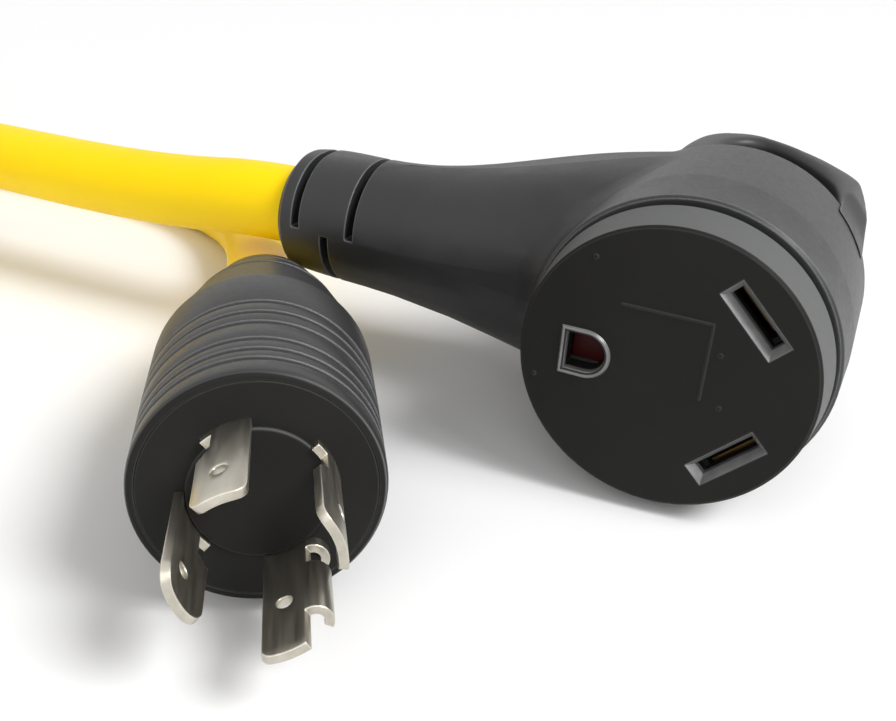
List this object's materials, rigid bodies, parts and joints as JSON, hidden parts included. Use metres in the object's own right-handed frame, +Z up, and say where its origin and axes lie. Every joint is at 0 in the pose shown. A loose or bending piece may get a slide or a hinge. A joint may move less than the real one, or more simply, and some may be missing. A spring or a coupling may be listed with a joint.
{
  "type": "shore power cord",
  "caption": "Shore power adapter cord: a right-angle trailer outlet head with a pull handle, a coiled yellow cord and a twist-lock plug with curved blades.",
  "frame": {"origin": "on the floor under the middle of the outlet head and its handle", "axes": "+Z up; the outlet's face looks towards -Y; its neck and the cord leave towards -X"},
  "size_m": [0.6075, 0.2572, 0.0618],
  "materials": {
    "black_moulding": "matt black flexible moulding with a soft sheen",
    "black_face": "matt black moulded insulation",
    "yellow_jacket": "smooth bright yellow cord jacket",
    "plated_blade": "nickel-plated brass with a fine brushed grain",
    "contact_brass": "bare formed brass",
    "copper_strand": "bare stranded copper",
    "zinc_steel": "zinc-plated steel",
    "white_insulation": "white wire insulation",
    "black_insulation": "black wire insulation",
    "green_insulation": "green wire insulation"
  },
  "bodies": {
    "cord_set": {"outlet_housing": "black_moulding", "pull_handle": "black_moulding", "outlet_face": "black_face", "contact_carrier": "black_face", "neutral_contact": "contact_brass", "line_contact": "contact_brass", "ground_contact": "contact_brass", "carrier_screws": "zinc_steel", "outlet_jacket_end": "yellow_jacket", "outlet_neutral_wire": "white_insulation", "outlet_line_wire": "black_insulation", "outlet_ground_wire": "green_insulation", "outlet_strand_ends": "copper_strand", "plug_body": "black_moulding", "plug_face": "black_face", "blade_carrier": "black_face", "neutral_blade": "plated_blade", "line_blade": "plated_blade", "ground_blade": "plated_blade", "spare_line_blade": "plated_blade", "plug_neutral_wire": "white_insulation", "plug_line_wire": "black_insulation", "plug_ground_wire": "green_insulation", "plug_strand_ends": "copper_strand", "plug_jacket_end": "yellow_jacket", "outlet_cord": "yellow_jacket", "cord_coil": "yellow_jacket", "plug_cord": "yellow_jacket"},
    "neutral_leaf": {"neutral_contact_leaf": "contact_brass"},
    "line_leaf": {"line_contact_leaf": "contact_brass"},
    "ground_leaf": {"ground_contact_leaf": "contact_brass"}
  },
  "joints": [
    {"name": "neutral_leaf_flex", "type": "hinge", "parent": "cord_set", "child": "neutral_leaf", "pos_m": [0.04956, -0.02358, 0.04275], "axis": [0.6613, 0, -0.7501], "range_deg": [0, 4], "stiffness_Nm_per_rad": 0.02, "springref_deg": -1.72},
    {"name": "line_leaf_flex", "type": "hinge", "parent": "cord_set", "child": "line_leaf", "pos_m": [0.04797, -0.02358, 0.01743], "axis": [-0.7501, 0, -0.6613], "range_deg": [0, 4], "stiffness_Nm_per_rad": 0.02, "springref_deg": -1.72},
    {"name": "ground_leaf_flex", "type": "hinge", "parent": "cord_set", "child": "ground_leaf", "pos_m": [0.01649, -0.02358, 0.03212], "axis": [-0.0628, 0, -0.998], "range_deg": [0, 4], "stiffness_Nm_per_rad": 0.02, "springref_deg": -1.72}
  ]
}
